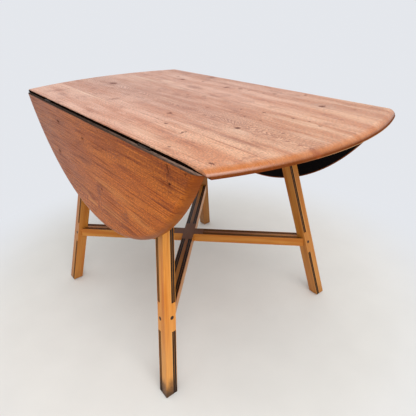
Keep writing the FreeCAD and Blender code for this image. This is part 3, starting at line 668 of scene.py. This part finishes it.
def leaf_wood(settings):
    """Finish of the leaves: boards along X, painted sheen and shade, dusty hinge edge, dark inner face."""
    wood = Finish("leaf_wood")
    x, y, z = wood.axes(wood.place)
    out = wood.math("ABSOLUTE", y)
    deep = wood.minus(LEAF_FACE, out)
    values = board_values(wood, z, LEAF_PANEL.boards)
    panel_ground(wood, settings, x, z, values[1])
    # Painted sheen: pinkish grey reflection at the left end.
    wood.coat(settings.faded_and_sheen, wood.rise(x, 0.22, -0.42), 0.72)
    oval_x = wood.math("DIVIDE", x, OVAL_X)
    oval_y = wood.math("DIVIDE", wood.minus(OVAL_LEVEL, z), OVAL_Y)
    oval = wood.squares(oval_x, oval_y)
    # Painted shade on the rounding of the right end, which turns away from the light; the rounding is also
    # worn smooth.
    rim = wood.rise(oval, 0.930, 0.985)
    wood.coat(settings.rim, rim, wood.rise(x, 0.02, 0.24), 0.65)
    # Painted shade: darker wood near the hinge edge on the right, under the top's overhang.
    wood.coat(settings.dark, wood.rise(z, 0.610, 0.700), wood.rise(x, -0.10, 0.20), 0.55)
    under = wood.times(deep, 0.35)
    roughness, height = panel_figure(wood, settings, x, z, under, values, LEAF_PANEL, rim)

    # Painted shadow line under the hinge edge, and the inner face: dark stain with painted shade.
    line = wood.rise(z, LEAF_TOP - 0.0030, LEAF_TOP - 0.0012)
    wood.coat(settings.grime_and_shade, line, 0.35)
    inner = wood.rise(out, LEAF_BACK + 0.0012, LEAF_BACK + 0.0004)
    stained = wood.times(inner, wood.rise(oval, 0.992, 0.984))
    wood.coat(settings.inside, stained)
    roughness = wood.times_plus(stained, 0.5, roughness, clamp=True)

    # Dust on the hinge edge, thicker to one end and darker towards the outer face, with painted shadow past
    # its end, where it meets the top.
    edge = wood.rise(z, LEAF_TOP - 0.0006, LEAF_TOP - 0.0001)
    specks = wood.clouds((60.0, 420.0, 1.0), detail=4.0)
    along = wood.span(wood.rise(x, -0.10, 0.50), 0.16, 1.0)
    along = wood.times(along, wood.rise(x, 0.512, 0.490))
    along = wood.times(along, wood.span(wood.rise(deep, 0.0010, 0.0100), 0.30, 1.0))
    settled = wood.times(wood.rise(specks, 0.16, 0.66), along)
    wood.coat(wood.blend(settled, settings.grime_and_shade, settings.dust), edge)
    roughness = wood.times_plus(edge, 0.6, roughness, clamp=True)
    return wood.surface(roughness, height, PANEL_RELIEF, settings.specular)


def straight_wood(wood, settings, along, side_a, side_b, seed):
    """Paints a straight-grained bar: rings about a heart line outside it, and fibres.

    Gives back the roughness and the height of the surface.
    """
    drift = wood.noise(wood.vector(wood.times(along, 3.0), seed, 0.7))
    out_a = wood.plus(side_a, wood.span(drift, 0.030, 0.050))
    out_b = wood.plus(side_b, wood.span(drift, 0.062, 0.042))
    saw = wood.math("FRACT", wood.math("DIVIDE", wood.distance(out_a, out_b), settings.ring))
    late = wood.times(wood.rise(saw, 0.30, 0.92), wood.rise(saw, 1.0, 0.93))
    across = wood.times_plus(side_b, 1.31, side_a)
    fibre = wood.grain(along, across, seed, 14.0, 420.0, detail=3.0, roughness=0.6)
    cloud = wood.grain(along, across, seed, 4.0, 60.0, detail=4.0)
    wood.paint = settings.warm
    wood.coat(settings.light, wood.rise(cloud, 0.34, 0.64))
    wood.coat(settings.dark, late, 0.22)
    wood.coat(settings.dark, wood.rise(fibre, 0.50, 0.80), 0.55)
    wear = wood.clouds((24.0, 24.0, 24.0), detail=3.0)
    roughness = wood.times_plus(wear, 0.18, settings.roughness - 0.08)
    height = wood.times_plus(fibre, -0.5, wood.times(late, 0.2))
    return roughness, height


def reeds(wood, inner, deep):
    """Shares of groove and of the ridge between, by distance from a face's inner edge and depth under it."""
    stripes = 0.0
    for start, end in GROOVES:
        stripes = wood.larger(stripes, wood.within(inner, start, end, GROOVE_SOFT))
    sunk = wood.within(deep, *GROOVE_SPAN, GROOVE_SOFT)
    ridge = wood.within(inner, GROOVES[0][1], GROOVES[1][0], RIDGE_SOFT)
    return wood.times(sunk, stripes), ridge


def leg_wood(settings):
    """Finish of the legs, in depths under the outer faces: stained grooves, ringed plugs, dirty feet,
    painted shade and highlights.
    """
    wood = Finish("leg_wood")
    x, y, z = wood.axes(wood.place)
    lean = wood.times_plus(z, -1 / TOP_UNDER, 1.0)
    out_x = wood.times_plus(lean, LEG_SPLAY_X, LEG_HEAD_X)
    out_y = wood.times_plus(lean, LEG_SPLAY_Y, LEG_HEAD_Y)
    deep_x = wood.minus(out_x, wood.math("ABSOLUTE", x))
    deep_y = wood.minus(out_y, wood.math("ABSOLUTE", y))
    right = wood.math("SIGN", x)
    back = wood.math("SIGN", y)
    seed = wood.times_plus(right, 3.1, wood.times(back, 1.7))
    roughness, height = straight_wood(wood, settings, z, deep_x, deep_y, seed)
    front_right = wood.times(wood.rise(right, 0.0, 1.0), wood.rise(back, 0.0, -1.0))
    # Painted shade: each leg darker the further back and left it stands, the back left leg darkest.
    wood.tone(wood.times_plus(wood.minus(right, back), 0.14, 0.71))

    # Paler low down, most on the front right leg, and red along the outer corner.
    rubbed = wood.times(wood.rise(z, 0.30, 0.10), wood.span(front_right, 0.10, 0.40))
    wood.coat(settings.faded_and_sheen, rubbed)
    patch = wood.grain(z, deep_x, seed, 5.0, 30.0)
    streak = wood.within(wood.minus(deep_x, deep_y), 0.003, 0.010, 0.003)
    streak = wood.times(streak, wood.rise(patch, 0.34, 0.58))
    streak = wood.times(streak, wood.span(wood.rise(z, 0.20, 0.32), 0.20, 0.60))
    wood.coat(settings.red, streak)

    below = wood.rise(z, LOW_BAND_TOP, LOW_BAND_TOP - BAND_SOFT)
    above = wood.rise(z, HIGH_BAND_FOOT, HIGH_BAND_FOOT + BAND_SOFT)
    banded = wood.larger(below, above)
    grooves = ridges = worn_edges_and_highlight = rings = 0.0
    plug_level = {"x": STRETCHER_MIDDLE + PLUG_LIFT, "y": STRETCHER_MIDDLE - PLUG_LIFT}
    for face, deep, side in (("x", deep_x, deep_y), ("y", deep_y, deep_x)):
        inner = wood.minus(LEG_WIDTH, side)
        level = wood.rise(deep, 0.0008, 0.0002)
        groove, ridge = reeds(wood, inner, deep)
        grooves = wood.larger(grooves, groove)
        if face == "x":
            # Low on this face the solid has the groove beside the inner edge in outline only. A leg
            # that grooved_leg leaves as it is has the stain level on the face.
            drawn = wood.times(wood.within(inner, *GROOVES[0], GROOVE_SOFT), below)
            grooves = wood.larger(grooves, wood.times(level, drawn))
        ridges = wood.larger(ridges, wood.times(level, ridge))
        # Lighter strip beside the grooves: wear with a painted highlight along the groove's edge.
        worn = wood.within(inner, GROOVES[1][1] + 0.0004, GROOVES[1][1] + 0.0022, GROOVE_SOFT)
        worn_edges_and_highlight = wood.larger(worn_edges_and_highlight, wood.times(level, worn))
        away = wood.distance(wood.minus(z, plug_level[face]), wood.minus(inner, PLUG_INSET))
        ring = wood.rise(away, PLUG_RADIUS + 0.0014, PLUG_RADIUS + 0.0002)
        rings = wood.larger(rings, wood.times(level, ring))
    wood.coat(settings.faded_and_sheen, worn_edges_and_highlight, banded, 0.7)
    wood.coat(settings.ridge, ridges, banded, 0.85)
    wood.coat(settings.groove, grooves, banded)
    wood.coat(settings.dirt, rings, 0.8)

    # Dirt at the feet, most on the front right leg.
    smear = wood.clouds((70.0, 70.0, 45.0), detail=4.0)
    height_up = wood.times_plus(smear, 0.050, z)
    darkening = wood.times(wood.rise(height_up, 0.090, 0.034), wood.span(front_right, 0.12, 0.92))
    hem = wood.times(wood.rise(z, 0.0060, 0.0010), 0.7)
    wood.coat(settings.dirt, wood.larger(darkening, hem))
    return wood.surface(roughness, height, FRAME_RELIEF, settings.specular)


def stretcher_wood(name, settings, turn, halved):
    """Finish of a stretcher in its own length and width: dark grooved top and bright sides.

    A halved one has joint lines beside the crossing.
    """
    wood = Finish(name)
    inputs = {"Vector": wood.place, "Rotation": (0.0, 0.0, -turn)}
    along, across, z = wood.axes(wood.node("ShaderNodeMapping", inputs).outputs[0])
    roughness, height = straight_wood(wood, settings, along, across, z, turn)
    wood.tone(0.76)
    inner = wood.minus(STRETCHER_WIDTH / 2, wood.math("ABSOLUTE", across))
    deep = wood.minus(STRETCHER_TOP, z)
    top = wood.rise(deep, 0.0009, 0.0003)
    out = wood.math("ABSOLUTE", along)
    smear = wood.grain(along, across, turn, 22.0, 160.0)
    browned = wood.times_plus(wood.rise(out, 0.048, 0.080), -0.32, 0.97)
    browned = wood.times_plus(wood.rise(out, 0.12, 0.38), -0.42, browned)
    browned = wood.times_plus(smear, 0.2, wood.minus(browned, 0.1), clamp=True)
    wood.coat(settings.brown, top, browned)
    groove, ridge = reeds(wood, inner, deep)
    banded = wood.rise(out, BAND_START - 0.0005, BAND_START + 0.0005)
    wood.coat(settings.ridge, ridge, banded, top, 0.85)
    wood.coat(settings.groove, groove)
    if halved:
        seam = wood.within(out, STRETCHER_WIDTH / 2, STRETCHER_WIDTH / 2 + 0.0006, GROOVE_SOFT)
        wood.coat(settings.groove, seam, 0.8)
    return wood.surface(roughness, height, FRAME_RELIEF, settings.specular)


def bare_wood(name, settings, run):
    """Finish of the hidden bars: plain planed wood with its grain along X, Y or Z."""
    wood = Finish(name)
    numbers = list(wood.axes(wood.place))
    along = numbers.pop("xyz".index(run))
    roughness, height = straight_wood(wood, settings, along, *numbers, BARE_SEED)
    wood.coat(settings.bare, 0.72)
    return wood.surface(wood.plus(roughness, 0.22), height, BARE_RELIEF, settings.specular)


def plug_wood(settings):
    """Finish of the plugs: dark end grain, a little lighter in speckles."""
    wood = Finish("plug_wood")
    speck = wood.clouds((900.0, 900.0, 900.0))
    wood.paint = settings.dirt
    wood.coat(settings.ridge, wood.rise(speck, 0.40, 0.65))
    return wood.surface(wood.times_plus(speck, 0.2, 0.4), speck, FRAME_RELIEF, settings.specular)


def aged_steel(name, settings, clean):
    """Finish of hinges and screws: steel with clouds of tarnish and fine brushing."""
    finish = Finish(name)
    cloud = finish.clouds((90.0, 90.0, 90.0), detail=4.0, roughness=0.6)
    brush = finish.clouds((3000.0, 200.0, 200.0))
    finish.paint = settings.clean
    finish.coat(settings.dull, finish.rise(cloud, clean - 0.2, clean + 0.2))
    roughness = finish.times_plus(cloud, 0.35, 0.30)
    return finish.surface(roughness, brush, STEEL_RELIEF, 0.5, metallic=1.0)


def dress(nodes, material):
    """Gives CAD nodes a material."""
    for name in nodes:
        mesh = frame["nodes"][name].data
        mesh.materials.clear()
        mesh.materials.append(material)


def nodes_of(*starts):
    """Names of the CAD nodes that start with one of some words."""
    return [name for name in sorted(frame["nodes"]) if name.startswith(starts)]


def in_low_groove(face):
    """True for a face of a leg in the outline of the low groove beside the inner edge of the X face."""
    low, high = GROOVES[0]
    for corner in face.verts:
        x, y, z = corner.co
        lean = 1 - z / TOP_UNDER
        deep = LEG_HEAD_X + LEG_SPLAY_X * lean - abs(x)
        inner = LEG_WIDTH - (LEG_HEAD_Y + LEG_SPLAY_Y * lean - abs(y))
        if abs(deep) > OUTLINE_SLACK or z > LOW_BAND_TOP + OUTLINE_SLACK:
            return False
        if not low - OUTLINE_SLACK < inner < high + OUTLINE_SLACK:
            return False
    return True


def sink(work, faces, way):
    """Moves faces of a mesh by a vector, with walls from their outline to the new place."""
    corners = {corner for face in faces for corner in face.verts}
    sunk = {corner: work.verts.new(corner.co + way) for corner in sorted(corners, key=lambda one: one.index)}
    made = [[sunk[corner] for corner in face.verts] for face in faces]
    for face in faces:
        for loop in face.loops:
            if sum(other in faces for other in loop.edge.link_faces) == 1:
                start, end = loop.vert, loop.link_loop_next.vert
                made.append([start, end, sunk[end], sunk[start]])
    bmesh.ops.delete(work, geom=faces, context="FACES")
    for ring in made:
        work.faces.new(ring)


def grooved_leg(name):
    """Puts a copy in the place of a dressed leg, with the groove cut that its solid has only in outline."""
    node = frame["nodes"][name]
    work = bmesh.new()
    work.from_mesh(node.data)
    bmesh.ops.remove_doubles(work, verts=work.verts, dist=MERGE_REACH)
    work.verts.index_update()
    outline = [face for face in work.faces if in_low_groove(face)]
    if outline:
        inward = -math.copysign(GROOVE_DEPTH, outline[0].verts[0].co.x)
        sink(work, outline, Vector((inward, 0.0, 0.0)))
        mesh = bpy.data.meshes.new(f"{name}_grooved")
        work.to_mesh(mesh)
        if "custom_normal" in mesh.attributes:
            mesh.attributes.remove(mesh.attributes["custom_normal"])
        mesh.shade_smooth()
        mesh.set_sharp_from_angle(angle=SHARP_ANGLE)
        mesh.materials.append(node.data.materials[0])
        leg = bpy.data.objects.new(mesh.name, mesh)
        bpy.context.scene.collection.objects.link(leg)
        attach(leg, "base")
        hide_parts(name)
    work.free()


class TABLE_OT_panels(bpy.types.Operator):
    """Finishes the fixed top and the two leaves"""

    bl_idname = "table.panels"
    bl_label = "Finish top and leaves"

    def execute(self, context):
        settings = context.scene.table
        dress(["centre_top"], top_wood(settings.top))
        dress(["leaf_front", "leaf_back"], leaf_wood(settings.leaf))
        return {"FINISHED"}


class TABLE_OT_legs(bpy.types.Operator):
    """Finishes the four legs and their plugs"""

    bl_idname = "table.legs"
    bl_label = "Finish legs"

    def execute(self, context):
        settings = context.scene.table.frame
        dress(nodes_of("leg_"), leg_wood(settings))
        for name in nodes_of("leg_"):
            grooved_leg(name)
        dress(["stretcher_plugs"], plug_wood(settings))
        return {"FINISHED"}


class TABLE_OT_stretchers(bpy.types.Operator):
    """Finishes the crossed stretchers"""

    bl_idname = "table.stretchers"
    bl_label = "Finish stretchers"

    def execute(self, context):
        settings = context.scene.table.frame
        lean = 1 - STRETCHER_MIDDLE / TOP_UNDER
        seat_x = LEG_HEAD_X + LEG_SPLAY_X * lean - LEG_WIDTH / 2
        seat_y = LEG_HEAD_Y + LEG_SPLAY_Y * lean - LEG_WIDTH / 2
        turn = math.atan2(seat_y, seat_x)
        dress(["stretcher_front_left"], stretcher_wood("stretcher_wood_lower", settings, turn, True))
        dress(["stretcher_front_right"], stretcher_wood("stretcher_wood_upper", settings, -turn, False))
        return {"FINISHED"}


class TABLE_OT_underframe(bpy.types.Operator):
    """Finishes the rails, the pull-out bearers and their stop dowels"""

    bl_idname = "table.underframe"
    bl_label = "Finish underframe"

    def execute(self, context):
        settings = context.scene.table.frame
        dress(nodes_of("side_rail", "centre_rail"), bare_wood("rail_wood_long", settings, "x"))
        dress(nodes_of("cross_rail"), bare_wood("rail_wood_cross", settings, "y"))
        dress(nodes_of("loper_front", "loper_back"), bare_wood("loper_wood", settings, "y"))
        dress(nodes_of("loper_stop"), bare_wood("dowel_wood", settings, "z"))
        return {"FINISHED"}


class TABLE_OT_hardware(bpy.types.Operator):
    """Finishes the hinges and all screws"""

    bl_idname = "table.hardware"
    bl_label = "Finish hinges and screws"

    def execute(self, context):
        settings = context.scene.table.steel
        dress(nodes_of("hinge_flap", "hinge_pin"), aged_steel("hinge_steel", settings, HINGE_CLEAN))
        screws = nodes_of("hinge_screws", "top_screws", "stretcher_screws")
        dress(screws, aged_steel("screw_steel", settings, SCREW_CLEAN))
        return {"FINISHED"}


class Lamp(NamedTuple):
    """A square lamp: its place, the point that it shines on and its width. Metres."""

    place: tuple
    target: tuple
    width: float


KEY_LAMP = Lamp((-0.3, -0.6, 2.7), (0.0, 0.0, 0.5), 2.6)
FRONT_LAMP = Lamp((2.4, -0.7, 2.3), (0.0, 0.0, 0.4), 2.8)
FLOOR_RADIUS = 8.0
FLOOR_HUB = 0.02  # first ring of the floor, as a share before it is squared
FLOOR_RINGS = 24
FLOOR_SPOKES = 72
FLOOR_NEAR = 0.62
FLOOR_FAR = 1.15
CAMERA_PLACE = Vector((0.972065, -0.667529, 0.961396))
CAMERA_AZIMUTH = math.radians(52.2337)
CAMERA_ELEVATION = math.radians(28.2365)
CAMERA_ROLL = math.radians(-1.5394)
SENSOR = 36.0
FOCAL_PIXELS = 380.458
PRINCIPAL_POINT = (207.193, 208.736)


def floor_disc():
    """Flat disc on the floor: the point at (r, t) is (r cos t, r sin t, 0), with r growing as a square."""
    r = FLOOR_RADIUS * np.linspace(FLOOR_HUB, 1.0, FLOOR_RINGS) ** 2
    t = np.linspace(0.0, 2.0 * np.pi, FLOOR_SPOKES, endpoint=False)
    grid_r, grid_t = np.meshgrid(r, t, indexing="ij")
    points = np.stack([grid_r * np.cos(grid_t), grid_r * np.sin(grid_t), np.zeros_like(grid_r)], -1)
    ring, spoke = np.meshgrid(np.arange(FLOOR_RINGS - 1), np.arange(FLOOR_SPOKES), indexing="ij")
    after = (spoke + 1) % FLOOR_SPOKES
    inner = ring * FLOOR_SPOKES
    outer = inner + FLOOR_SPOKES
    quads = np.stack([inner + spoke, outer + spoke, outer + after, inner + after], -1)
    faces = [*quads.reshape(-1, 4).tolist(), list(range(FLOOR_SPOKES))]
    mesh = bpy.data.meshes.new("floor")
    mesh.from_pydata(points.reshape(-1, 3).tolist(), [], faces)
    floor = bpy.data.objects.new("floor", mesh)
    bpy.context.scene.collection.objects.link(floor)
    return floor


def floor_finish(settings):
    """Pale floor that fades into the white background round the table."""
    finish = Finish("floor_finish")
    x, y, _ = finish.axes(finish.place)
    far = finish.rise(finish.distance(x, y), FLOOR_NEAR, FLOOR_FAR)
    finish.paint = settings.floor
    finish.tone(finish.times_plus(finish.clouds((7.0, 7.0, 7.0), detail=4.0), 0.10, 0.95))
    ground = finish.node("ShaderNodeBsdfDiffuse", {"Color": finish.paint}).outputs[0]
    glow = {"Color": rgba(settings.background), "Strength": 1.0}
    white = finish.node("ShaderNodeEmission", glow).outputs[0]
    faded_and_sheen = finish.times(finish.seen(), far)
    mixed = finish.node("ShaderNodeMixShader", {0: faded_and_sheen, 1: ground, 2: white}).outputs[0]
    finish.node("ShaderNodeOutputMaterial", {"Surface": mixed})
    return finish.material


def soft_lamp(name, lamp, power):
    """Hangs a lamp and lights it."""
    data = bpy.data.lights.new(name, "AREA")
    data.shape = "SQUARE"
    data.size = lamp.width
    data.energy = power
    hung = bpy.data.objects.new(name, data)
    bpy.context.scene.collection.objects.link(hung)
    hung.location = lamp.place
    aim = Vector(lamp.target) - Vector(lamp.place)
    hung.rotation_euler = aim.to_track_quat("-Z", "Y").to_euler()


def studio_world(settings):
    """White to be seen, and an even fill that lights the table."""
    world = bpy.data.worlds.new("studio")
    world.use_nodes = True
    nodes = Nodes(world.node_tree)
    even = {"Color": (1.0, 1.0, 1.0, 1.0), "Strength": settings.fill}
    fill = nodes.node("ShaderNodeBackground", even).outputs[0]
    white = nodes.node("ShaderNodeBackground", {"Color": rgba(settings.background)}).outputs[0]
    mixed = nodes.node("ShaderNodeMixShader", {0: nodes.seen(), 1: fill, 2: white}).outputs[0]
    nodes.node("ShaderNodeOutputWorld", {"Surface": mixed})
    return world


def viewing_camera():
    """Camera at the photo's angle: its axes come from azimuth, elevation and roll."""
    a, e, r = CAMERA_AZIMUTH, CAMERA_ELEVATION, CAMERA_ROLL
    back = Vector((math.sin(a) * math.cos(e), -math.cos(a) * math.cos(e), math.sin(e)))
    level = Vector((math.cos(a), math.sin(a), 0.0))
    upright = back.cross(level)
    right = level * math.cos(r) + upright * math.sin(r)
    up = upright * math.cos(r) - level * math.sin(r)
    data = bpy.data.cameras.new("camera")
    data.sensor_width = SENSOR
    data.lens = FOCAL_PIXELS / IMAGE_WIDTH * SENSOR
    data.shift_x = 0.5 - PRINCIPAL_POINT[0] / IMAGE_WIDTH
    data.shift_y = PRINCIPAL_POINT[1] / IMAGE_WIDTH - 0.5
    camera = bpy.data.objects.new("camera", data)
    bpy.context.scene.collection.objects.link(camera)
    turned = Matrix((right, up, back)).transposed().to_4x4()
    camera.matrix_world = Matrix.Translation(CAMERA_PLACE) @ turned
    return camera


class TABLE_OT_stage(bpy.types.Operator):
    """Lays the floor, sets the lamps and the camera"""

    bl_idname = "table.stage"
    bl_label = "Set the stage"

    def execute(self, context):
        settings = context.scene.table.stage
        scene = context.scene
        floor = floor_disc()
        floor.data.materials.append(floor_finish(settings))
        soft_lamp("key_lamp", KEY_LAMP, settings.key)
        soft_lamp("front_lamp", FRONT_LAMP, settings.front)
        scene.world = studio_world(settings)
        scene.camera = viewing_camera()
        scene.view_settings.view_transform = "Standard"
        return {"FINISHED"}


STEPS = (
    TABLE_OT_panels,
    TABLE_OT_legs,
    TABLE_OT_stretchers,
    TABLE_OT_underframe,
    TABLE_OT_hardware,
    TABLE_OT_stage,
)


class TABLE_PT_finishes(bpy.types.Panel):
    """Settings and steps of the table"""

    bl_idname = "TABLE_PT_finishes"
    bl_label = "Drop-leaf table"
    bl_space_type = "VIEW_3D"
    bl_region_type = "UI"
    bl_category = "Table"

    def draw(self, context):
        layout = self.layout
        for name in ("top", "leaf", "frame", "steel", "stage"):
            settings = getattr(context.scene.table, name)
            part = layout.box()
            part.label(text=name.title())
            for field in settings.bl_rna.properties.keys():
                if field not in ("rna_type", "name"):
                    part.prop(settings, field)
        for step in STEPS:
            layout.operator(step.bl_idname)


SETTINGS = (TopSettings, LeafSettings, FrameSettings, SteelSettings, StageSettings, TableSettings)
CLASSES = (*SETTINGS, *STEPS, TABLE_PT_finishes)


def register():
    """Adds the classes and the scene's settings."""
    for cls in CLASSES:
        bpy.utils.register_class(cls)
    bpy.types.Scene.table = PointerProperty(type=TableSettings)


def unregister():
    """Removes the scene's settings and the classes."""
    del bpy.types.Scene.table
    for cls in reversed(CLASSES):
        bpy.utils.unregister_class(cls)


def main():
    """Runs every step."""
    register()
    for step in STEPS:
        area, action = step.bl_idname.split(".")
        getattr(getattr(bpy.ops, area), action)()


if __name__ == "__main__":
    main()
